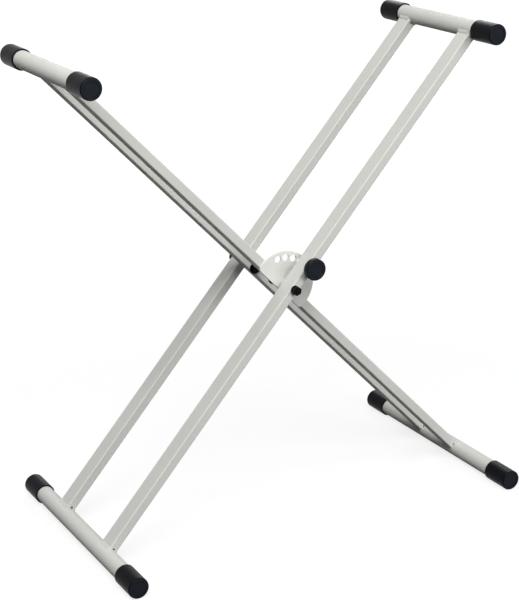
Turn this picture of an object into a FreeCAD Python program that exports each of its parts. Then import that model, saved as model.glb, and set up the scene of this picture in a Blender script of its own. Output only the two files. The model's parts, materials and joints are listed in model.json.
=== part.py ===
import FreeCAD, Part
import math
import os

from FreeCAD import Placement, Rotation, Vector

# Folding keyboard stand: two rectangular-tube frames that cross at their middles and turn on two bolts.
# Millimetres, +Z up. Origin: on the floor, midway between the feet, with the cross tubes along Y.
# The near side, with the lock knob, faces -Y. The outer frame rises towards +X, the inner one towards -X.

# ---------------------------------------------------------------- driving dimensions
FRAME_LENGTH = 1000.0        # between a frame's foot tube axis and its top tube axis
FRAME_SLOPE = 47.33          # degrees of each frame above the floor in the open pose
RAIL_WIDTH = 30.0            # rail section along Y
RAIL_DEPTH = 15.0            # rail section across the frame's plane
RAIL_WALL = 1.5
RAIL_CORNER = 2.0            # outer corner radius of the rail section
OUTER_RAIL_SPACING = 168.0   # between the centres of the outer frame's two rails
INNER_RAIL_SPACING = 93.0    # between the centres of the inner frame's two rails
WELD_LEG = 3.4               # each leg of the fillet welds along the rails' wide faces
WELD_CROWN = 0.5             # how far a weld bulges past the straight line between its toes
EYE_RADIUS = 2.2             # vent hole left open between the tube and each narrow face of a rail
EYE_DEPTH = 3.0              # how far that hole opens past the cross tube

TUBE_RADIUS = 14.0
TUBE_WALL = 1.5
FOOT_LENGTH = 425.0          # over the end caps
ARM_LENGTH = 314.0           # over the end caps

CAP_RADIUS = 16.6
CAP_LENGTH = 52.0
CAP_END_WALL = 5.0           # rubber between the tube's end and the cap's face
CAP_EDGE_ROUND = 2.6         # rounded outer edge of the cap's face
CAP_MOUTH_ROUND = 0.9
CAP_RIM_WIDTH = 4.4          # flat ring round the recessed face
CAP_RECESS_DEPTH = 0.9

PLATE_THICKNESS = 3.0
PLATE_RADIUS = 53.2          # arc of the lock plate about the pivot
PLATE_CHORD = 11.0           # straight edge of the plate below the pivot
PLATE_CORNER = 7.0
PLATE_EDGE_ROUND = 0.5       # deburred edge of the plate's outside face
LOCK_HOLE_CIRCLE = 43.0      # radius from the pivot to the lock holes
LOCK_HOLE_RADIUS = 5.5
LOCK_HOLE_PITCH = 18.45      # degrees between neighbouring lock holes
LOCK_HOLE_COUNT = 4

BOLT_RADIUS = 4.0
HEX_ACROSS_FLATS = 13.0
HEX_CHAMFER_INSET = 0.2      # the turned chamfer starts this far inside the flats
HEX_CHAMFER_ANGLE = 30.0     # degrees
BOLT_HEAD_HEIGHT = 8.0
FLANGE_RADIUS = 7.2
FLANGE_HEIGHT = 1.4
FLANGE_RIM_HEIGHT = 0.7      # upright edge of the flange under its slope
NUT_HEIGHT = 4.8
NUT_COLLAR_RADIUS = 5.7
NUT_COLLAR_HEIGHT = 1.8
BOLT_END = 0.6               # thread that stands out past the nut
BUSH_WALL = 1.7
SPACER_RADIUS = 8.0
NUT_WASHER_RADIUS = 9.4
NUT_WASHER_HEIGHT = 1.0

PIN_RADIUS = 5.0
PIN_NOSE_CHAMFER = 1.0
PIN_BODY_LENGTH = 15.5       # full-width part of the pin, from its nose to the shoulder under the spring
STEM_RADIUS = 2.5
HOUSING_RADIUS = 5.9
HOUSING_NOSE = 2.0           # guide that stands past the rail towards the plate
COLLAR_RADIUS = 8.0          # neck between the rail and the knob
COLLAR_HEIGHT = 5.4
PLUG_LENGTH = 3.0
SPRING_WIRE_RADIUS = 0.6
SPRING_MEAN_RADIUS = 3.8

KNOB_RADIUS = 17.2
KNOB_HEIGHT = 12.6
KNOB_GAP = 6.0               # between the rail and the knob's rear face
KNOB_CAVITY_DEPTH = 6.4      # recess that takes the collar when the pin is seated
KNOB_RIM_HEIGHT = 10.6       # grip rim, measured back from the face
KNOB_SKIRT_RADIUS = 15.6     # narrower skirt behind the rim
KNOB_FACE_ROUND = 2.2
KNOB_EDGE_ROUND = 0.8
KNOB_RING_RADIUS = 12.0
KNOB_RING_DEPTH = 0.9
STEM_COVER = 2.0             # between the stem's end and the knob's face

# Clearances
PIVOT_CLEARANCE = 0.08       # radial, bolt in the inner rails' bushes
BOLT_HOLE_CLEARANCE = 0.2    # radial, bolt in the pieces that turn with it
SIDE_CLEARANCE = 0.3         # along the pivot axis, between the two frames' pieces
GUIDE_CLEARANCE = 0.08       # radial, pin in its guide and stem in its plug
NOSE_CLEARANCE = 0.4         # pin's nose to the plate when drawn clear
INSERT_CLEARANCE = 0.1       # radial, pieces that slip inside a rail
COLLAR_CLEARANCE = 0.6       # radial, collar in the knob's recess

# ---------------------------------------------------------------- derived places
HALF_FRAME = FRAME_LENGTH / 2
OUTER_RAIL_Y = OUTER_RAIL_SPACING / 2
INNER_RAIL_Y = INNER_RAIL_SPACING / 2
PIVOT_HEIGHT = CAP_RADIUS + HALF_FRAME * math.sin(math.radians(FRAME_SLOPE))
OUTER_FACE = OUTER_RAIL_Y + RAIL_WIDTH / 2        # outside of the outer rails, from the middle plane
OUTER_INSIDE = OUTER_RAIL_Y - RAIL_WIDTH / 2
INNER_FACE = INNER_RAIL_Y + RAIL_WIDTH / 2
INNER_INSIDE = INNER_RAIL_Y - RAIL_WIDTH / 2
PLATE_FACE = INNER_FACE + PLATE_THICKNESS
RAIL_CAVITY = RAIL_DEPTH / 2 - RAIL_WALL
BUSH_BORE = BOLT_RADIUS + PIVOT_CLEARANCE
BUSH_RADIUS = min(BUSH_BORE + BUSH_WALL, RAIL_CAVITY - INSERT_CLEARANCE)
SLEEVE_RADIUS = RAIL_CAVITY - (RAIL_CORNER - RAIL_WALL)
BOLT_HOLE = BOLT_RADIUS + BOLT_HOLE_CLEARANCE
SIDES = {"near": -1, "far": 1}
AXIS_Y = Vector(0, 1, 0)
SAME_PLACE = 0.01            # millimetres within which two measures are the same
PARALLEL = 0.99              # least part of a unit direction that lies along an axis parallel to it


# ---------------------------------------------------------------- shape helpers
def ring_bar(radius, start, end, bore=0.0, x=0.0, z=0.0):
    """A round bar or tube along Y between two values of Y."""
    low, high = min(start, end), max(start, end)
    shape = Part.makeCylinder(radius, high - low, Vector(x, low, z), AXIS_Y)
    if bore > 0:
        shape = shape.cut(Part.makeCylinder(bore, high - low, Vector(x, low, z), AXIS_Y))
    return shape


def turned(profile, side, base, x=0.0):
    """Revolve (radius, height) points about an axis along Y. Height runs outward from the plane at base."""
    points = [Vector(x + radius, side * (base + height), 0) for radius, height in profile]
    wire = Part.makePolygon(points + points[:1])
    return Part.Face(wire).revolve(Vector(x, 0, 0), AXIS_Y, 360)


def ring_edges(shape, radius, y):
    """The circular edges of a shape with this radius in the plane at y."""
    found = []
    for edge in shape.Edges:
        if isinstance(edge.Curve, Part.Circle) and abs(edge.Curve.Radius - radius) < SAME_PLACE:
            if abs(edge.Curve.Center.y - y) < SAME_PLACE:
                found.append(edge)
    return found


def rounded_bar(length, width, depth, corner):
    """A bar along X, centred on the origin, with its long edges rounded."""
    box = Part.makeBox(length, width, depth, Vector(-length / 2, -width / 2, -depth / 2))
    long_edges = [edge for edge in box.Edges if abs(edge.tangentAt(edge.FirstParameter).x) > PARALLEL]
    return box.makeFillet(corner, long_edges)


def hexagon(across_flats, height, side, base):
    """A hexagonal prism along Y with its outer corners turned off."""
    corner = across_flats / math.sqrt(3)
    points = []
    for index in range(6):
        angle = math.radians(60 * index + 30)
        points.append(Vector(corner * math.cos(angle), side * base, corner * math.sin(angle)))
    prism = Part.Face(Part.makePolygon(points + points[:1])).extrude(AXIS_Y * side * height)
    face_radius = across_flats / 2 - HEX_CHAMFER_INSET
    shoulder = height - (corner - face_radius) * math.tan(math.radians(HEX_CHAMFER_ANGLE))
    blank = turned([(0, 0), (corner, 0), (corner, shoulder), (face_radius, height), (0, height)], side, base)
    return prism.common(blank)


# ---------------------------------------------------------------- frame pieces
def weld_bead(end, face):
    """A fillet weld along Y, in the corner between the cross tube and a wide face of the rail.

    end is -1 at the foot and 1 at the top, face is the side of the frame's plane that it lies on.
    """
    seat_angle = math.asin(RAIL_DEPTH / 2 / TUBE_RADIUS)
    toe_angle = seat_angle + WELD_LEG / TUBE_RADIUS
    seat_reach = TUBE_RADIUS * math.cos(seat_angle)

    def point(reach, height):
        return Vector(end * (HALF_FRAME - reach), 0, face * height)

    rail_toe = point(seat_reach + WELD_LEG, RAIL_DEPTH / 2)
    tube_toe = point(TUBE_RADIUS * math.cos(toe_angle), TUBE_RADIUS * math.sin(toe_angle))
    root = point(seat_reach, RAIL_DEPTH / 2 - RAIL_WALL / 2)
    outward = Vector(-end, 0, face).normalize() * WELD_CROWN
    crown = (rail_toe + tube_toe) / 2 + outward
    surface = Part.Arc(rail_toe, crown, tube_toe).toShape()
    tube_side = Part.LineSegment(tube_toe, root).toShape()
    rail_side = Part.LineSegment(root, rail_toe).toShape()
    outline = Part.Wire([surface, tube_side, rail_side])
    length = RAIL_WIDTH - 2 * RAIL_CORNER
    bead = Part.Face(outline).extrude(AXIS_Y * length)
    bead.translate(AXIS_Y * (-length / 2))
    return bead


def rail(rail_y, holes):
    """A rectangular tube between the cross tubes, its ends saddle-cut to sit round them.

    holes lists (x, radius) of round holes through both side walls.
    """
    bar = rounded_bar(FRAME_LENGTH, RAIL_WIDTH, RAIL_DEPTH, RAIL_CORNER)
    cavity = rounded_bar(FRAME_LENGTH, RAIL_WIDTH - 2 * RAIL_WALL, RAIL_DEPTH - 2 * RAIL_WALL,
                         RAIL_CORNER - RAIL_WALL)
    shape = bar.cut(cavity)
    for end in (-1, 1):
        eye_x = end * (HALF_FRAME - TUBE_RADIUS - EYE_DEPTH + EYE_RADIUS)
        shape = shape.fuse([weld_bead(end, face) for face in (-1, 1)]).removeSplitter()
        shape = shape.cut(ring_bar(TUBE_RADIUS, -RAIL_WIDTH, RAIL_WIDTH, x=end * HALF_FRAME))
        shape = shape.cut(ring_bar(EYE_RADIUS, -RAIL_WIDTH, RAIL_WIDTH, x=eye_x))
    for x, radius in holes:
        shape = shape.cut(ring_bar(radius, -RAIL_WIDTH, RAIL_WIDTH, x=x))
    shape.translate(Vector(0, rail_y, 0))
    return shape


def cross_tube(x, length_over_caps):
    """An open round tube across the frame's end, as long as the caps' bores allow."""
    half = length_over_caps / 2 - CAP_END_WALL
    return ring_bar(TUBE_RADIUS, -half, half, bore=TUBE_RADIUS - TUBE_WALL, x=x)


def end_cap(x, length_over_caps, side):
    """A rubber cap: rounded face edge, recessed face inside a flat rim, open mouth over the tube."""
    face = length_over_caps / 2
    mouth = face - CAP_LENGTH
    floor = face - CAP_END_WALL
    recess_radius = CAP_RADIUS - CAP_EDGE_ROUND - CAP_RIM_WIDTH / 2
    shape = ring_bar(CAP_RADIUS, side * mouth, side * face, x=x)
    shape = shape.cut(ring_bar(TUBE_RADIUS, side * mouth, side * floor, x=x))
    shape = shape.cut(ring_bar(recess_radius, side * (face - CAP_RECESS_DEPTH), side * face, x=x))
    shape = shape.makeFillet(CAP_EDGE_ROUND, ring_edges(shape, CAP_RADIUS, side * face))
    shape = shape.makeFillet(CAP_MOUTH_ROUND, ring_edges(shape, CAP_RADIUS, side * mouth))
    return shape


def frame_pieces(name, rail_y, holes_by_side):
    """The rails, cross tubes and caps of one frame, lying along X with the pivot at the origin."""
    pieces = {}
    for side_name, side in SIDES.items():
        pieces[f"{name}_rail_{side_name}"] = rail(side * rail_y, holes_by_side[side_name])
    for end_name, x, length in (("foot", -HALF_FRAME, FOOT_LENGTH), ("top", HALF_FRAME, ARM_LENGTH)):
        pieces[f"{name}_{end_name}_tube"] = cross_tube(x, length)
        for side_name, side in SIDES.items():
            pieces[f"{name}_{end_name}_cap_{side_name}"] = end_cap(x, length, side)
    return pieces


# ---------------------------------------------------------------- pivot pieces
def pivot_bolt(side):
    """A flanged hex bolt whose head bears on the outer rail and whose shank ends past the nut."""
    head = hexagon(HEX_ACROSS_FLATS, FLANGE_HEIGHT + BOLT_HEAD_HEIGHT, side, OUTER_FACE)
    flange = turned([(0, 0), (FLANGE_RADIUS, 0), (FLANGE_RADIUS, FLANGE_RIM_HEIGHT),
                     (HEX_ACROSS_FLATS / 2, FLANGE_HEIGHT), (0, FLANGE_HEIGHT)], side, OUTER_FACE)
    shank = ring_bar(BOLT_RADIUS, side * OUTER_FACE, side * shank_end())
    return head.fuse([flange, shank]).removeSplitter()


def nut_seat():
    """Distance from the middle plane to the washer's face under each nut."""
    return INNER_INSIDE - SIDE_CLEARANCE - NUT_WASHER_HEIGHT


def shank_end():
    """Distance from the middle plane to the bolt's free end."""
    return nut_seat() - NUT_HEIGHT - NUT_COLLAR_HEIGHT - BOLT_END


def pivot_nut(side):
    """A locking nut with a round collar, on the inside of the inner frame."""
    seat = nut_seat()
    collar_seat = seat - NUT_HEIGHT
    body = hexagon(HEX_ACROSS_FLATS, NUT_HEIGHT, -side, -seat)
    collar = ring_bar(NUT_COLLAR_RADIUS, side * collar_seat, side * (collar_seat - NUT_COLLAR_HEIGHT))
    bore = ring_bar(BOLT_RADIUS, side * seat, side * shank_end())
    return body.fuse(collar).removeSplitter().cut(bore)


def pivot_pieces():
    """Bolt, nut, washer, spacer and crush sleeve of each side, which stay with the outer frame."""
    pieces = {}
    for side_name, side in SIDES.items():
        inner_stop = PLATE_FACE if side_name == "near" else INNER_FACE
        pieces[f"pivot_bolt_{side_name}"] = pivot_bolt(side)
        pieces[f"pivot_nut_{side_name}"] = pivot_nut(side)
        pieces[f"nut_washer_{side_name}"] = ring_bar(
            NUT_WASHER_RADIUS, side * nut_seat(), side * (nut_seat() + NUT_WASHER_HEIGHT), bore=BOLT_HOLE)
        pieces[f"pivot_spacer_{side_name}"] = ring_bar(
            SPACER_RADIUS, side * (inner_stop + SIDE_CLEARANCE), side * OUTER_INSIDE, bore=BOLT_HOLE)
        pieces[f"crush_sleeve_{side_name}"] = ring_bar(
            SLEEVE_RADIUS, side * (OUTER_INSIDE + RAIL_WALL), side * (OUTER_FACE - RAIL_WALL), bore=BOLT_HOLE)
    return pieces


def pivot_bushes():
    """Bearing bushes through the inner rails, flush with their faces and with the lock plate."""
    pieces = {}
    for side_name, side in SIDES.items():
        outer_end = PLATE_FACE if side_name == "near" else INNER_FACE
        pieces[f"pivot_bush_{side_name}"] = ring_bar(
            BUSH_RADIUS, side * INNER_INSIDE, side * outer_end, bore=BUSH_BORE)
    return pieces


# ---------------------------------------------------------------- lock pieces
def lock_plate():
    """The D-shaped indexing plate on the near inner rail, seen along Y with the rail along X.

    The inner frame's own Z points down once it is turned into place, so the arc is on the -Z side.
    """
    half_chord = math.sqrt(PLATE_RADIUS ** 2 - PLATE_CHORD ** 2)
    left, right = Vector(-half_chord, 0, PLATE_CHORD), Vector(half_chord, 0, PLATE_CHORD)
    arc = Part.Arc(left, Vector(0, 0, -PLATE_RADIUS), right).toShape()
    outline = Part.Wire([arc, Part.LineSegment(right, left).toShape()])
    plate = Part.Face(outline).extrude(Vector(0, -PLATE_THICKNESS, 0))
    plate.translate(Vector(0, -INNER_FACE, 0))
    through_edges = [edge for edge in plate.Edges if abs(edge.tangentAt(edge.FirstParameter).y) > PARALLEL]
    corners = [edge for edge in through_edges if abs(edge.CenterOfMass.z - PLATE_CHORD) < SAME_PLACE]
    plate = plate.makeFillet(PLATE_CORNER, corners)
    rim = [edge for edge in plate.Edges if abs(edge.CenterOfMass.y + PLATE_FACE) < SAME_PLACE]
    plate = plate.makeFillet(PLATE_EDGE_ROUND, rim)
    for x, z in lock_hole_places():
        plate = plate.cut(ring_bar(LOCK_HOLE_RADIUS, -PLATE_FACE, -INNER_FACE, x=x, z=z))
    return plate.cut(ring_bar(BUSH_RADIUS, -PLATE_FACE, -INNER_FACE))


def lock_hole_places():
    """Centres of the lock holes in the inner frame's own axes. The first one is under the pin when open."""
    frame_angle = 180 - FRAME_SLOPE
    places = []
    for index in range(LOCK_HOLE_COUNT):
        angle = math.radians(FRAME_SLOPE + index * LOCK_HOLE_PITCH - frame_angle)
        places.append((LOCK_HOLE_CIRCLE * math.cos(angle), LOCK_HOLE_CIRCLE * math.sin(angle)))
    return places


def lock_stations():
    """Distances from the middle plane along the lock's axis, with the pin drawn clear of the plate."""
    nose = PLATE_FACE + NOSE_CLEARANCE
    collar_end = OUTER_FACE + COLLAR_HEIGHT
    return {"nose": nose, "shoulder": nose + PIN_BODY_LENGTH, "guide": OUTER_INSIDE - HOUSING_NOSE,
            "plug": collar_end - PLUG_LENGTH, "collar_end": collar_end, "knob": OUTER_FACE + KNOB_GAP}


def lock_pieces():
    """The housing and its plug, which are fixed in the near outer rail."""
    at = lock_stations()
    x = LOCK_HOLE_CIRCLE
    bore_radius = PIN_RADIUS + GUIDE_CLEARANCE
    body = ring_bar(HOUSING_RADIUS, -at["guide"], -at["collar_end"], x=x)
    collar = ring_bar(COLLAR_RADIUS, -OUTER_FACE, -at["collar_end"], x=x)
    bore = ring_bar(bore_radius, -at["guide"], -at["collar_end"], x=x)
    housing = body.fuse(collar).removeSplitter().cut(bore)
    plug = ring_bar(bore_radius, -at["plug"], -at["collar_end"], x=x, bore=STEM_RADIUS + GUIDE_CLEARANCE)
    return {"lock_housing": housing, "lock_plug": plug}


def lock_knob(base, x):
    """A round knob with a waist behind its grip rim, a dished face and a hollow back."""
    cavity_radius = COLLAR_RADIUS + COLLAR_CLEARANCE
    rim_start = KNOB_HEIGHT - KNOB_RIM_HEIGHT
    cavity = [(0, KNOB_CAVITY_DEPTH), (cavity_radius, KNOB_CAVITY_DEPTH), (cavity_radius, 0)]
    skirt = [(KNOB_SKIRT_RADIUS, 0), (KNOB_SKIRT_RADIUS, rim_start)]
    rim = [(KNOB_RADIUS, rim_start), (KNOB_RADIUS, KNOB_HEIGHT), (KNOB_RING_RADIUS, KNOB_HEIGHT)]
    dish_depth = KNOB_HEIGHT - KNOB_RING_DEPTH
    dish = [(KNOB_RING_RADIUS - KNOB_RING_DEPTH, dish_depth), (0, dish_depth)]
    knob = turned(cavity + skirt + rim + dish, -1, base, x)
    front, back_of_rim = -(base + KNOB_HEIGHT), -(base + rim_start)
    knob = knob.makeFillet(KNOB_FACE_ROUND, ring_edges(knob, KNOB_RADIUS, front))
    knob = knob.makeFillet(KNOB_EDGE_ROUND, ring_edges(knob, KNOB_RADIUS, back_of_rim))
    return knob.makeFillet(KNOB_EDGE_ROUND, ring_edges(knob, KNOB_SKIRT_RADIUS, -base))


def plunger_pieces():
    """The pin with its stem, the knob and the spring, which slide together along the lock's axis."""
    at = lock_stations()
    x = LOCK_HOLE_CIRCLE
    stem_end = at["knob"] + KNOB_HEIGHT - KNOB_RING_DEPTH - STEM_COVER
    stem_length = stem_end - at["nose"]
    nose = [(0, 0), (PIN_RADIUS - PIN_NOSE_CHAMFER, 0), (PIN_RADIUS, PIN_NOSE_CHAMFER)]
    shoulder = [(PIN_RADIUS, PIN_BODY_LENGTH), (STEM_RADIUS, PIN_BODY_LENGTH)]
    stem = [(STEM_RADIUS, stem_length), (0, stem_length)]
    pin = turned(nose + shoulder + stem, -1, at["nose"], x)
    knob = lock_knob(at["knob"], x).cut(ring_bar(STEM_RADIUS, -at["knob"], -stem_end, x=x))
    spring = ring_bar(SPRING_MEAN_RADIUS + SPRING_WIRE_RADIUS, -at["shoulder"], -at["plug"], x=x,
                      bore=SPRING_MEAN_RADIUS - SPRING_WIRE_RADIUS)
    return {"lock_pin": pin, "lock_knob": knob, "lock_spring": spring}


# ---------------------------------------------------------------- assembly
def stand_up(shape, slope):
    """Turn a piece that lies along X up to its frame's slope, about the pivot, and lift the pivot."""
    turn = Placement(Vector(0, 0, PIVOT_HEIGHT), Rotation(AXIS_Y, -slope))
    placed = shape.copy()
    placed.Placement = turn.multiply(placed.Placement)
    return placed


def main():
    """Build both frames' pieces lying down, stand each frame up and write one file per piece."""
    os.makedirs("parts", exist_ok=True)
    bolt_hole = (0.0, BOLT_HOLE)
    outer_holes = {"near": [bolt_hole, (LOCK_HOLE_CIRCLE, HOUSING_RADIUS)], "far": [bolt_hole]}
    inner_holes = {"near": [(0.0, BUSH_RADIUS)], "far": [(0.0, BUSH_RADIUS)]}

    outer = frame_pieces("outer", OUTER_RAIL_Y, outer_holes)
    outer.update(pivot_pieces())
    outer.update(lock_pieces())
    outer.update(plunger_pieces())
    inner = frame_pieces("inner", INNER_RAIL_Y, inner_holes)
    inner.update(pivot_bushes())
    inner["lock_plate"] = lock_plate()

    for pieces, slope in ((outer, FRAME_SLOPE), (inner, 180 - FRAME_SLOPE)):
        for node, shape in pieces.items():
            stand_up(shape, slope).exportStep(f"parts/{node}.step")
    print(f"pivot height {PIVOT_HEIGHT:.3f}, nodes {len(outer) + len(inner)}")


if __name__ == "__main__":
    main()
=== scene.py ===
"""A folding keyboard stand in a white studio: finishes, fine pieces, lamps and camera around its measured frame."""

import json
import logging
import math
from dataclasses import dataclass
from enum import Enum

import bmesh
import bpy
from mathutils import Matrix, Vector


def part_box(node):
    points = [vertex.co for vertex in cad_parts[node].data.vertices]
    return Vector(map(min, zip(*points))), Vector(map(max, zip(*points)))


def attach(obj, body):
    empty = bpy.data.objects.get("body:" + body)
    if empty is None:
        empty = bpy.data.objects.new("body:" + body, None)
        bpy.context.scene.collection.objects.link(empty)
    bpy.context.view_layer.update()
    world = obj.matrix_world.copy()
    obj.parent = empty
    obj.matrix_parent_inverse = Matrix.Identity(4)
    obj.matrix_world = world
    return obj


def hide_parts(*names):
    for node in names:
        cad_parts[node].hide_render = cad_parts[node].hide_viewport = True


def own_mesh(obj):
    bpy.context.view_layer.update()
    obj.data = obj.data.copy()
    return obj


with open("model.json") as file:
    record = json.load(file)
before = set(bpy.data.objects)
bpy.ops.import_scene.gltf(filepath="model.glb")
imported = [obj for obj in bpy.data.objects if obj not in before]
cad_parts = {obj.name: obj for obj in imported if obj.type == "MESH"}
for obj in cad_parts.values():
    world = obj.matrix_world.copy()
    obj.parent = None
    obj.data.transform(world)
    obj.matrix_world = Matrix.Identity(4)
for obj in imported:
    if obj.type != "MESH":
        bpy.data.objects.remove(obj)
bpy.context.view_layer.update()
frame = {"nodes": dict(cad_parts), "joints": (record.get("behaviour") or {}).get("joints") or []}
LOG = logging.getLogger("stand")
MM = 0.001
FRAME_SLOPE = 47.33
INNER_SLOPE = 180 - FRAME_SLOPE
MERGE_REACH = 1e-7
SHARP_ANGLE = math.radians(35)
WHITE = (1.0, 1.0, 1.0, 1.0)
Triple = tuple[float, float, float]
Colour = Triple


class Body(Enum):
    """The bodies that the pieces ride on."""

    OUTER = "outer_frame"
    INNER = "inner_frame"
    PLUNGER = "lock_plunger"


class Slot(Enum):
    """The record's material slots."""

    PAINT = "frame_paint"
    RUBBER = "cap_rubber"
    FASTENER = "black_fastener"
    ZINC = "zinc_steel"
    NYLON = "nylon"
    KNOB = "knob_plastic"


class Side(Enum):
    """The two sides of the stand, by the sign of Y."""

    NEAR = -1
    FAR = 1

    @property
    def word(self) -> str:
        """The side's word in the names of the nodes."""
        return self.name.lower()


def joint_named(name: str) -> dict:
    """Find a joint of the frame.

    Args:
        name: The joint's name.

    Returns:
        The joint as the record states it.
    """
    return next(joint for joint in frame["joints"] if joint["name"] == name)


PIVOT = Vector(joint_named("fold")["pos_m"])


# ---------------------------------------------------------------- shader and mesh helpers
class Nodes:
    """The nodes of a material or of the world, with the object's own coordinates at hand."""

    def __init__(self, tree: bpy.types.NodeTree) -> None:
        """Take over a node tree.

        Args:
            tree: The tree, with Blender's own first nodes in it.
        """
        self.tree = tree
        self.place = self.add("ShaderNodeTexCoord").outputs["Object"]

    def add(self, kind: str, settings: dict | None = None, inputs: dict | None = None) -> bpy.types.Node:
        """Add one node.

        Args:
            kind: The node's type.
            settings: Values for the node's own properties.
            inputs: A value or a socket for each input, by name or index.

        Returns:
            The new node.
        """
        node = self.tree.nodes.new(kind)
        for key, value in (settings or {}).items():
            setattr(node, key, value)
        for key, value in (inputs or {}).items():
            self.feed(node, key, value)
        return node

    def feed(self, node: bpy.types.Node, key: str | int, value: object) -> None:
        """Link a socket to an input, or set the input's own value.

        Args:
            node: The node that has the input.
            key: The input's name or index.
            value: An output socket or a plain value.
        """
        if isinstance(value, bpy.types.NodeSocket):
            self.tree.links.new(value, node.inputs[key])
        else:
            node.inputs[key].default_value = value

    def math(self, operation: str, *values: object) -> bpy.types.NodeSocket:
        """Add a math node.

        Args:
            operation: The node's operation.
            values: Its inputs in order.

        Returns:
            Its result.
        """
        node = self.add("ShaderNodeMath", {"operation": operation}, dict(enumerate(values)))
        return node.outputs[0]

    def noise(self, size: float, detail: float = 2.0,
              place: bpy.types.NodeSocket | None = None) -> bpy.types.NodeSocket:
        """Add a noise texture.

        Args:
            size: The size of its largest features, in metres.
            detail: How many finer octaves it has.
            place: Where to read it, or None for the object's own coordinates.

        Returns:
            Its value, about 0.5 on average.
        """
        inputs = {"Vector": place or self.place, "Scale": 1 / size, "Detail": detail}
        return self.add("ShaderNodeTexNoise", inputs=inputs).outputs["Fac"]

    def spread(self, value: bpy.types.NodeSocket, low: float, high: float,
               from_low: float = 0.3, from_high: float = 0.7) -> bpy.types.NodeSocket:
        """Map a value's middle range to another range.

        Args:
            value: The value to map.
            low: The result at from_low.
            high: The result at from_high.
            from_low: The value that gives low.
            from_high: The value that gives high.

        Returns:
            The mapped value.
        """
        inputs = {"Value": value, "From Min": from_low, "From Max": from_high, "To Min": low, "To Max": high}
        return self.add("ShaderNodeMapRange", inputs=inputs).outputs["Result"]

    def blend(self, share: bpy.types.NodeSocket, first: Colour | bpy.types.NodeSocket,
              second: Colour | bpy.types.NodeSocket) -> bpy.types.NodeSocket:
        """Mix two colours.

        Args:
            share: How much of the second colour shows.
            first: The colour at 0, or a socket that gives it.
            second: The colour at 1, or a socket that gives it.

        Returns:
            The mixed colour.
        """
        node = self.add("ShaderNodeMix", {"data_type": "RGBA"}, {"Factor": share})
        ends = [socket for socket in node.inputs if socket.type == "RGBA"]
        for socket, colour in zip(ends, (first, second)):
            if isinstance(colour, bpy.types.NodeSocket):
                self.tree.links.new(colour, socket)
            else:
                socket.default_value = (*colour, 1.0)
        return next(socket for socket in node.outputs if socket.type == "RGBA")

    def bump(self, height: bpy.types.NodeSocket, depth: float,
             under: bpy.types.NodeSocket | None = None) -> bpy.types.NodeSocket:
        """Add a bump node.

        Args:
            height: The height, from 0 to 1.
            depth: How deep a height of 1 is, in metres.
            under: The normal of a bump below this one.

        Returns:
            The bumped normal.
        """
        node = self.add("ShaderNodeBump", inputs={"Height": height, "Distance": depth, "Strength": 1.0})
        if under:
            self.feed(node, "Normal", under)
        return node.outputs["Normal"]

    def seen(self) -> bpy.types.NodeSocket:
        """Tell the rays that show the background from those that light the stand.

        Returns:
            1 for camera, glossy and transmission rays, 0 for the rest.
        """
        rays = self.add("ShaderNodeLightPath").outputs
        mirrored = self.math("MAXIMUM", rays["Is Glossy Ray"], rays["Is Transmission Ray"])
        return self.math("MAXIMUM", rays["Is Camera Ray"], mirrored)


class Shader(Nodes):
    """One material with its surface shader."""

    def __init__(self, name: str) -> None:
        """Make the material.

        Args:
            name: The material's name.
        """
        self.material = bpy.data.materials.new(name)
        self.material.use_nodes = True
        super().__init__(self.material.node_tree)
        self.surface = self.tree.nodes["Principled BSDF"]

    def set_surface(self, **values: object) -> None:
        """Set the surface shader's inputs, with an underscore for each space in a name."""
        for key, value in values.items():
            self.feed(self.surface, key.replace("_", " "), value)


def piece_from(mesh: bmesh.types.BMesh, name: str, material: bpy.types.Material,
               body: Body) -> bpy.types.Object:
    """Make a finished piece of a built mesh and let it ride on its body.

    Args:
        mesh: The piece's mesh, in the stand's own frame, which is freed.
        name: The piece's name.
        material: The piece's finish.
        body: The body that it rides on.

    Returns:
        The new object.
    """
    bmesh.ops.remove_doubles(mesh, verts=mesh.verts, dist=MERGE_REACH)
    bmesh.ops.recalc_face_normals(mesh, faces=mesh.faces)
    for face in mesh.faces:
        face.smooth = True
    data = bpy.data.meshes.new(name)
    mesh.to_mesh(data)
    mesh.free()
    data.materials.append(material)
    data.set_sharp_from_angle(angle=SHARP_ANGLE)
    piece = bpy.data.objects.new(name, data)
    bpy.context.scene.collection.objects.link(piece)
    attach(piece, body.value)
    return piece


def turned(mesh: bmesh.types.BMesh, profile: list[tuple[float, float]], centre: Vector, steps: int) -> None:
    """Spin a closed outline round an axis along Y.

    Args:
        mesh: The mesh that takes the ring.
        profile: The outline's (radius, place along Y from the centre) points, in metres.
        centre: A point on the axis.
        steps: How many steps the full turn has.
    """
    corners = [mesh.verts.new(centre + Vector((radius, along, 0))) for radius, along in profile]
    edges = [mesh.edges.new((corner, corners[index - 1])) for index, corner in enumerate(corners)]
    bmesh.ops.spin(mesh, geom=corners + edges, cent=centre, axis=(0, 1, 0), angle=math.tau,
                   steps=steps, use_merge=True)


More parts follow.
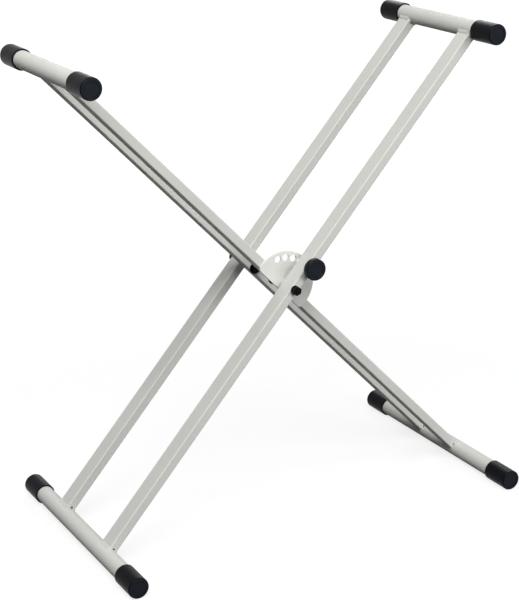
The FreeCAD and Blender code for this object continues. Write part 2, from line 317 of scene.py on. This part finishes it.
def wound(mesh: bmesh.types.BMesh, profile: list[tuple[float, float]], centre: Vector,
          lead: float, turns: float, steps: int) -> None:
    """Wind a closed outline along a helix round an axis along Y, and close its ends.

    Args:
        mesh: The mesh that takes the helix.
        profile: The outline's (radius, place along Y from the centre) points, in metres.
        centre: The point on the axis level with the helix's start.
        lead: How far it climbs along Y in a turn, in metres, either way.
        turns: How many turns it has.
        steps: How many steps a turn has.
    """
    corners = [mesh.verts.new(centre + Vector((radius, along, 0))) for radius, along in profile]
    edges = [mesh.edges.new((corner, corners[index - 1])) for index, corner in enumerate(corners)]
    total = max(1, round(turns * steps))
    bmesh.ops.spin(mesh, geom=corners + edges, cent=centre, axis=(0, 1, 0), angle=math.tau * turns,
                   steps=total, dvec=(0, lead * turns / total, 0))
    open_edges = [edge for edge in mesh.edges if edge.is_boundary]
    bmesh.ops.holes_fill(mesh, edges=open_edges, sides=len(profile))


# ---------------------------------------------------------------- finishes
@dataclass(frozen=True)
class PowderCoat:
    """Warm light grey powder coat with a fine orange peel, over welds whose ripples still show."""

    slope_deg: float
    half_frame: float = 0.5
    light: Colour = (0.665, 0.67, 0.632)
    dark: Colour = (0.63, 0.635, 0.598)
    rough_low: float = 0.55
    rough_high: float = 0.65
    gloss: float = 0.04
    peel_size: float = 0.0011
    peel_depth: float = 0.000018
    peel_detail: float = 1.0
    cloud_size: float = 0.11
    cloud_detail: float = 3.0
    gloss_patches: float = 4.0
    gloss_detail: float = 4.0
    ripple_lead: float = 0.0021
    ripple_depth: float = 0.00022
    wander_size: float = 0.006
    wander_detail: float = 2.0
    wander_leads: float = 2.2
    weld_reach: float = 0.0185
    weld_fade: float = 0.0015

    def material(self, name: str) -> bpy.types.Material:
        """Make the finish.

        Args:
            name: The material's name.

        Returns:
            The material.
        """
        shader = Shader(name)
        turn = (0.0, -math.radians(self.slope_deg), 0.0)
        along = shader.add("ShaderNodeMapping", {"vector_type": "TEXTURE"},
                           {"Vector": shader.place, "Location": PIVOT, "Rotation": turn}).outputs[0]
        weld = self._weld_share(shader, along)
        cloud = shader.spread(shader.noise(self.cloud_size, self.cloud_detail), 0.0, 1.0)
        patches = shader.noise(self.cloud_size / self.gloss_patches, self.gloss_detail)
        peel = shader.noise(self.peel_size, self.peel_detail)
        shader.set_surface(
            Base_Color=shader.blend(cloud, self.dark, self.light),
            Roughness=shader.spread(patches, self.rough_low, self.rough_high),
            Normal=shader.bump(peel, self.peel_depth, self._ripples(shader, along, weld)),
            Specular_IOR_Level=self.gloss,
        )
        return shader.material

    def _weld_share(self, shader: Shader, along: bpy.types.NodeSocket) -> bpy.types.NodeSocket:
        """Find the welds, which lie within a short reach of a cross tube's axis.

        Args:
            shader: The material in the making.
            along: Coordinates with X along the frame.

        Returns:
            1 on the weld beads, 0 elsewhere.
        """
        parts = shader.add("ShaderNodeSeparateXYZ", inputs={0: along}).outputs
        past_end = shader.math("SUBTRACT", shader.math("ABSOLUTE", parts["X"]), self.half_frame)
        off_axis = shader.math("SQRT", shader.math(
            "ADD", shader.math("POWER", past_end, 2.0), shader.math("POWER", parts["Z"], 2.0)))
        return shader.spread(off_axis, 1.0, 0.0, self.weld_reach, self.weld_reach + self.weld_fade)

    def _ripples(self, shader: Shader, along: bpy.types.NodeSocket,
                 weld: bpy.types.NodeSocket) -> bpy.types.NodeSocket:
        """Bump the welds with the puddle marks of the torch, softened by the coat.

        Args:
            shader: The material in the making.
            along: Coordinates with X along the frame.
            weld: 1 on the weld beads.

        Returns:
            The bumped normal.
        """
        parts = shader.add("ShaderNodeSeparateXYZ", inputs={0: along}).outputs
        drift = shader.noise(self.wander_size, self.wander_detail)
        wander = shader.math("MULTIPLY", drift, self.ripple_lead * self.wander_leads)
        phase = shader.math("MULTIPLY", shader.math("ADD", parts["Y"], wander), math.tau / self.ripple_lead)
        wave = shader.math("MULTIPLY", shader.math("SINE", phase), weld)
        return shader.bump(shader.spread(wave, 0.0, 1.0, -1.0, 1.0), self.ripple_depth)


@dataclass(frozen=True)
class Moulded:
    """A moulded rubber or plastic with a fine spark-eroded grain, an uneven gloss, and end faces painted paler as
    painted light where they catch the lamps.
    """

    light: Colour
    dark: Colour
    # The end faces' colour is painted light: paler where the end faces catch the lamps.
    rubbed: Colour
    rough_low: float
    rough_high: float
    grain_size: float
    grain_depth: float
    cloud_size: float
    gloss: float
    cloud_detail: float = 4.0
    grain_detail: float = 3.0
    gloss_patches: float = 3.0
    gloss_detail: float = 3.0
    end_from: float = 0.75
    # The painted light on the end faces falls in uneven patches.
    rub_patches: float = 2.0
    rub_detail: float = 4.0
    rub_least: float = 0.7

    def material(self, name: str) -> bpy.types.Material:
        """Make the finish.

        Args:
            name: The material's name.

        Returns:
            The material.
        """
        shader = Shader(name)
        cloud = shader.spread(shader.noise(self.cloud_size, self.cloud_detail), 0.0, 1.0)
        patches = shader.noise(self.cloud_size / self.gloss_patches, self.gloss_detail)
        grain = shader.noise(self.grain_size, self.grain_detail)
        body = shader.blend(cloud, self.dark, self.light)
        shader.set_surface(
            # The end faces take a paler colour as painted light.
            Base_Color=shader.blend(self._end_share(shader), body, self.rubbed),
            Roughness=shader.spread(patches, self.rough_low, self.rough_high),
            Normal=shader.bump(grain, self.grain_depth),
            Specular_IOR_Level=self.gloss,
        )
        return shader.material

    def _end_share(self, shader: Shader) -> bpy.types.NodeSocket:
        """Find the end faces, which look along Y, and paint them paler in uneven patches as painted light.

        Args:
            shader: The material in the making.

        Returns:
            How much painted light the surface takes, from 0 to 1.
        """
        normal = shader.add("ShaderNodeTexCoord").outputs["Normal"]
        square = shader.math("ABSOLUTE", shader.add("ShaderNodeSeparateXYZ", inputs={0: normal}).outputs["Y"])
        end_light_noise = shader.noise(self.cloud_size / self.rub_patches, self.rub_detail)
        patches = shader.spread(end_light_noise, self.rub_least, 1.0)
        return shader.math("MULTIPLY", shader.spread(square, 0.0, 1.0, self.end_from, 1.0), patches)


@dataclass(frozen=True)
class Plated:
    """Turned steel under a thin plating or oxide, with fine lathe lines and a patchy gloss."""

    light: Colour
    dark: Colour
    rough_low: float
    rough_high: float
    metallic: float
    gloss: float = 0.5
    line_size: float = 0.00035
    line_depth: float = 0.000006
    line_detail: float = 2.0
    line_stretch: Triple = (0.1, 1.0, 0.1)
    cloud_size: float = 0.004
    cloud_detail: float = 4.0
    gloss_size: float = 0.0015
    gloss_detail: float = 3.0

    def material(self, name: str) -> bpy.types.Material:
        """Make the finish.

        Args:
            name: The material's name.

        Returns:
            The material.
        """
        shader = Shader(name)
        cloud = shader.spread(shader.noise(self.cloud_size, self.cloud_detail), 0.0, 1.0)
        patches = shader.noise(self.gloss_size, self.gloss_detail)
        placing = {"Vector": shader.place, "Scale": self.line_stretch}
        stretch = shader.add("ShaderNodeMapping", inputs=placing).outputs[0]
        lines = shader.noise(self.line_size, self.line_detail, stretch)
        shader.set_surface(
            Base_Color=shader.blend(cloud, self.dark, self.light),
            Roughness=shader.spread(patches, self.rough_low, self.rough_high),
            Normal=shader.bump(lines, self.line_depth),
            Metallic=self.metallic,
            Specular_IOR_Level=self.gloss,
        )
        return shader.material


class Palette:
    """Every finish of the stand, made once."""

    def __init__(self) -> None:
        """Make the materials."""
        # Each moulded finish paints its end faces paler as painted light.
        rubber = Moulded(light=(0.0026, 0.0032, 0.0042), dark=(0.0016, 0.002, 0.0026),
                         rubbed=(0.012, 0.0155, 0.021), rough_low=0.32, rough_high=0.42,
                         grain_size=0.00045, grain_depth=0.00002, cloud_size=0.02, gloss=0.05)
        knob = Moulded(light=(0.003, 0.0036, 0.0055), dark=(0.002, 0.0026, 0.004), rubbed=(0.0095, 0.012, 0.0185),
                       rough_low=0.3, rough_high=0.4, grain_size=0.00035, grain_depth=0.000012,
                       cloud_size=0.012, gloss=0.08)
        nylon = Moulded(light=(0.66, 0.66, 0.63), dark=(0.6, 0.6, 0.57), rubbed=(0.64, 0.64, 0.61),
                        rough_low=0.45, rough_high=0.6, grain_size=0.0003, grain_depth=0.000008,
                        cloud_size=0.006, gloss=0.4)
        oxide = Plated(light=(0.002, 0.002, 0.0022), dark=(0.0012, 0.0012, 0.0014),
                       rough_low=0.34, rough_high=0.46, metallic=0.0, gloss=0.05)
        zinc = Plated(light=(0.62, 0.62, 0.6), dark=(0.5, 0.5, 0.49),
                      rough_low=0.24, rough_high=0.38, metallic=1.0)
        self.paint = {
            Body.OUTER: PowderCoat(FRAME_SLOPE).material("outer_powder_coat"),
            Body.INNER: PowderCoat(INNER_SLOPE).material("inner_powder_coat"),
        }
        # The plate's coat is painted lighter than the rails': painted light for the extra light that falls on the
        # plate.
        self.plate = PowderCoat(INNER_SLOPE, light=(0.77, 0.775, 0.74), dark=(0.74, 0.745, 0.71),
                                peel_size=0.0016).material("plate_powder_coat")
        self.by_slot = {
            Slot.RUBBER: rubber.material("black_rubber"),
            Slot.KNOB: knob.material("black_knob_plastic"),
            Slot.NYLON: nylon.material("natural_nylon"),
            Slot.FASTENER: oxide.material("black_oxide"),
            Slot.ZINC: zinc.material("bright_zinc"),
        }

    def finish(self, slot: Slot, body: Body) -> bpy.types.Material:
        """Pick the material of a slot on a body.

        Args:
            slot: The record's slot.
            body: The body that the piece rides on.

        Returns:
            The material.
        """
        return self.paint[body] if slot is Slot.PAINT else self.by_slot[slot]

    def dress(self, body: Body, slot: Slot, *nodes: str, coat: bpy.types.Material | None = None) -> None:
        """Give measured nodes their finish.

        Args:
            body: The body that they ride on.
            slot: The record's slot.
            nodes: The nodes' names.
            coat: A finish of their own, or None for the slot's.
        """
        for name in nodes:
            for holder in frame["nodes"][name].material_slots:
                holder.material = coat or self.finish(slot, body)


# ---------------------------------------------------------------- the stand's sub-assemblies
@dataclass
class TubeFrame:
    """One of the two crossing frames: two rails between a foot tube and a top tube, with four rubber caps."""

    palette: Palette
    body: Body

    def build(self) -> list[str]:
        """Dress the frame's pieces.

        Returns:
            The names of its pieces.
        """
        word = self.body.name.lower()
        steel = [f"{word}_rail_{side.word}" for side in Side] + [f"{word}_foot_tube", f"{word}_top_tube"]
        caps = [f"{word}_{end}_cap_{side.word}" for end in ("foot", "top") for side in Side]
        self.palette.dress(self.body, Slot.PAINT, *steel)
        self.palette.dress(self.body, Slot.RUBBER, *caps)
        return steel + caps


@dataclass
class PivotBolts:
    """The two bolts at the crossing with their nuts, washers, spacers, sleeves and bushes."""

    palette: Palette
    bolt_radius: float = 4.0 * MM
    insert_radius: float = 4.9 * MM
    insert_proud: float = 0.25 * MM
    insert_steps: int = 48

    def build(self) -> list[str]:
        """Dress the hardware and add the locking ring in each nut's mouth.

        Returns:
            The names of its pieces.
        """
        names = []
        for side in Side:
            for stem, slot in (("pivot_bolt", Slot.FASTENER), ("pivot_nut", Slot.FASTENER),
                               ("nut_washer", Slot.FASTENER), ("pivot_spacer", Slot.NYLON),
                               ("crush_sleeve", Slot.ZINC)):
                self.palette.dress(Body.OUTER, slot, f"{stem}_{side.word}")
                names.append(f"{stem}_{side.word}")
            self.palette.dress(Body.INNER, Slot.ZINC, f"pivot_bush_{side.word}")
            names += [f"pivot_bush_{side.word}", self._insert(side)]
        return names

    def _nut_mouth(self, side: Side) -> float:
        """Find the nut's open end.

        Args:
            side: The side of the stand.

        Returns:
            The Y of the nut's face nearest the middle.
        """
        low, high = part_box(f"pivot_nut_{side.word}")
        return high.y if side is Side.NEAR else low.y

    def _insert(self, side: Side) -> str:
        """Make the black plastic ring that locks the bolt's thread in the nut's mouth.

        Args:
            side: The side of the stand.

        Returns:
            The piece's name.
        """
        mouth = self._nut_mouth(side)
        proud = -side.value * self.insert_proud
        mesh = bmesh.new()
        outline = [(self.bolt_radius, 0.0), (self.bolt_radius, proud),
                   (self.insert_radius - self.insert_proud, proud), (self.insert_radius, 0.0)]
        turned(mesh, outline, Vector((PIVOT.x, mouth, PIVOT.z)), self.insert_steps)
        name = f"nut_insert_{side.word}"
        piece_from(mesh, name, self.palette.finish(Slot.KNOB, Body.OUTER), Body.OUTER)
        return name


@dataclass
class Lock:
    """The sprung lock: the plate with its row of holes, the housing, and the knob with its pin and spring."""

    palette: Palette
    wire_radius: float = 0.6 * MM
    coil_radius: float = 3.8 * MM
    coil_turns: float = 8.0
    coil_steps: int = 32
    wire_sides: int = 10

    def build(self) -> list[str]:
        """Dress the lock and wind its spring.

        Returns:
            The names of its pieces.
        """
        # The plate takes the coat that is painted lighter, as painted light.
        self.palette.dress(Body.INNER, Slot.PAINT, "lock_plate", coat=self.palette.plate)
        self.palette.dress(Body.OUTER, Slot.PAINT, "lock_housing")
        self.palette.dress(Body.OUTER, Slot.ZINC, "lock_plug")
        self.palette.dress(Body.PLUNGER, Slot.ZINC, "lock_pin")
        self.palette.dress(Body.PLUNGER, Slot.KNOB, "lock_knob")
        return ["lock_plate", "lock_housing", "lock_plug", "lock_pin", "lock_knob", self._spring()]

    def _spring(self) -> str:
        """Wind the spring between the pin's shoulder and the plug. The real spring shortens as the knob is pulled,
        but this one keeps its rest length and rides on the plunger whole.

        Returns:
            The piece's name.
        """
        low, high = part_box("lock_spring")
        seat = Vector(((low.x + high.x) / 2, high.y, (low.z + high.z) / 2))
        length = high.y - low.y
        outline = []
        for index in range(self.wire_sides):
            angle = math.tau * index / self.wire_sides
            outline.append((self.coil_radius + self.wire_radius * math.cos(angle),
                            self.wire_radius * math.sin(angle)))
        mesh = bmesh.new()
        lead = -(length - 2 * self.wire_radius) / self.coil_turns
        wound(mesh, outline, seat - Vector((0, self.wire_radius, 0)), lead, self.coil_turns, self.coil_steps)
        spring = piece_from(mesh, "wound_lock_spring", self.palette.finish(Slot.ZINC, Body.PLUNGER),
                            Body.PLUNGER)
        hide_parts("lock_spring")
        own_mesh(spring)
        return spring.name


# ---------------------------------------------------------------- studio
@dataclass
class Lamp:
    """A soft rectangular lamp."""

    name: str
    place: Triple
    width: float
    height: float
    power: float

    def build(self, target: Vector) -> None:
        """Hang the lamp and turn it to its target.

        Args:
            target: The point that it faces.
        """
        light = bpy.data.lights.new(self.name, "AREA")
        light.shape = "RECTANGLE"
        light.size, light.size_y = self.width, self.height
        light.energy = self.power
        holder = bpy.data.objects.new(self.name, light)
        bpy.context.scene.collection.objects.link(holder)
        holder.location = Vector(self.place)
        holder.rotation_euler = (target - holder.location).to_track_quat("-Z", "Y").to_euler()


@dataclass
class Studio:
    """A plain pale floor under soft lamps, seen against white."""

    floor_radius: float = 12.0
    floor_sides: int = 96
    seen_shade: float = 0.22
    bounce_shade: float = 0.06
    near_glow: float = 0.80
    far_glow: float = 1.0
    glow_start: float = 0.7
    glow_end: float = 2.6
    fill_light: float = 0.05
    lamps: tuple[Lamp, ...] = (
        Lamp("key_softbox", (-1.3, -2.35, 3.75), 3.0, 3.0, 160.0),
        Lamp("top_softbox", (-1.5, 0.0, 3.0), 2.0, 2.0, 27.0),
        Lamp("front_softbox", (1.4, -3.6, 1.4), 2.0, 2.0, 70.0),
        Lamp("back_softbox", (2.0, 3.0, 2.2), 2.0, 2.0, 45.0),
    )

    def build(self) -> list[str]:
        """Make the floor, the surroundings and the lamps.

        Returns:
            The names of its pieces.
        """
        self._floor()
        self._surroundings()
        middle = Vector((0, 0, PIVOT.z))
        for lamp in self.lamps:
            lamp.build(middle)
        bpy.context.scene.view_settings.view_transform = "Standard"
        return ["floor"] + [lamp.name for lamp in self.lamps]

    def _floor(self) -> None:
        """Lay the floor, which glows to white where it is seen and keeps a faint shadow."""
        mesh = bmesh.new()
        bmesh.ops.create_circle(mesh, cap_ends=True, segments=self.floor_sides, radius=self.floor_radius)
        data = bpy.data.meshes.new("floor")
        mesh.to_mesh(data)
        mesh.free()
        shader = Shader("pale_floor")
        shader.tree.nodes.remove(shader.surface)
        seen = shader.seen()
        shade = shader.spread(seen, self.bounce_shade, self.seen_shade, 0.0, 1.0)
        paper = shader.add("ShaderNodeBsdfDiffuse", inputs={"Color": shade})
        distance = shader.add("ShaderNodeVectorMath", {"operation": "LENGTH"}, {0: shader.place}).outputs["Value"]
        white = shader.spread(distance, self.near_glow, self.far_glow, self.glow_start, self.glow_end)
        glow = shader.add("ShaderNodeEmission", inputs={"Color": WHITE})
        shader.feed(glow, "Strength", shader.math("MULTIPLY", seen, white))
        both = shader.add("ShaderNodeAddShader", inputs={0: paper.outputs[0], 1: glow.outputs[0]})
        shader.feed(shader.tree.nodes["Material Output"], "Surface", both.outputs[0])
        data.materials.append(shader.material)
        floor = bpy.data.objects.new("floor", data)
        bpy.context.scene.collection.objects.link(floor)

    def _surroundings(self) -> None:
        """Make the white surroundings, which light the stand only a little."""
        world = bpy.data.worlds.new("white_room")
        bpy.context.scene.world = world
        world.use_nodes = True
        room = Nodes(world.node_tree)
        backdrop = room.tree.nodes["Background"]
        room.feed(backdrop, "Color", WHITE)
        room.feed(backdrop, "Strength", room.spread(room.seen(), self.fill_light, 1.0, 0.0, 1.0))


@dataclass
class PhotoCamera:
    """The camera at the photograph's place, fitted to the stand's own edges."""

    from_pivot: Triple = (-1.16616, -2.18195, 0.81686)
    turn_deg: Triple = (70.9614, 1.4214, -29.6986)
    focal_pixels: float = 1627.97
    centre_x: float = 294.0
    centre_y: float = 294.0
    image_width: float = 519.0
    image_height: float = 600.0
    sensor: float = 36.0

    def build(self) -> str:
        """Make the camera.

        Returns:
            Its name.
        """
        data = bpy.data.cameras.new("photo_camera")
        data.sensor_width = self.sensor
        data.lens = self.focal_pixels * self.sensor / self.image_height
        data.shift_x = (self.image_width / 2 - self.centre_x) / self.image_height
        data.shift_y = (self.centre_y - self.image_height / 2) / self.image_height
        camera = bpy.data.objects.new("photo_camera", data)
        camera.location = PIVOT + Vector(self.from_pivot)
        camera.rotation_euler = [math.radians(angle) for angle in self.turn_deg]
        bpy.context.scene.collection.objects.link(camera)
        bpy.context.scene.camera = camera
        return camera.name


def main() -> None:
    """Build the stand's sub-assemblies in order, then the studio and the camera."""
    logging.basicConfig(level=logging.INFO, format="%(message)s")
    palette = Palette()
    assemblies = [TubeFrame(palette, Body.OUTER), TubeFrame(palette, Body.INNER), PivotBolts(palette), Lock(palette)]
    for assembly in assemblies:
        for name in assembly.build():
            LOG.info("%s: %s", type(assembly).__name__, name)
    for name in Studio().build():
        LOG.info("Studio: %s", name)
    LOG.info("Camera: %s", PhotoCamera().build())


if __name__ == "__main__":
    main()
